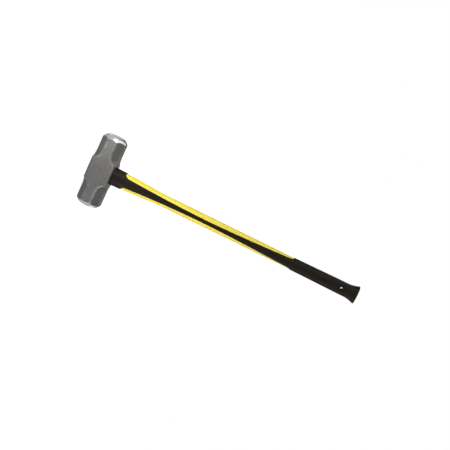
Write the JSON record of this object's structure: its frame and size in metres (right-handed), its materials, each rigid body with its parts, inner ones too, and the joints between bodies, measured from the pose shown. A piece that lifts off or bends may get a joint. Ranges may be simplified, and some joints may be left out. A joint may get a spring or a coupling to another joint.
{
  "type": "sledgehammer",
  "caption": "Double-faced sledgehammer: steel head with chamfered octagonal ends and bevelled faces, on a yellow and black moulded fibreglass handle with collar, grip and hang hole.",
  "frame": {"origin": "centre of the head's far side, where the eye shows the end of the handle, and which the hammer stands on", "axes": "+Z along the handle from the head to the butt, X along the head from one striking face to the other, Y through the cheeks"},
  "size_m": [0.223, 0.0734, 0.8655],
  "materials": {
    "forged_steel": "dark grey forged steel under clear lacquer, with ground bright bevels and faces",
    "yellow_polypropylene": "moulded, semi-gloss",
    "black_rubber": "fine matt texture",
    "glass_fibre": "pultruded glass fibre and resin",
    "epoxy": "cast resin",
    "mastic": "dull putty"
  },
  "bodies": {
    "root": {"head": "forged_steel", "jacket": "yellow_polypropylene", "overmould": "black_rubber", "core": "glass_fibre", "eye_adhesive": "epoxy", "eye_seal": "mastic"}
  },
  "joints": []
}
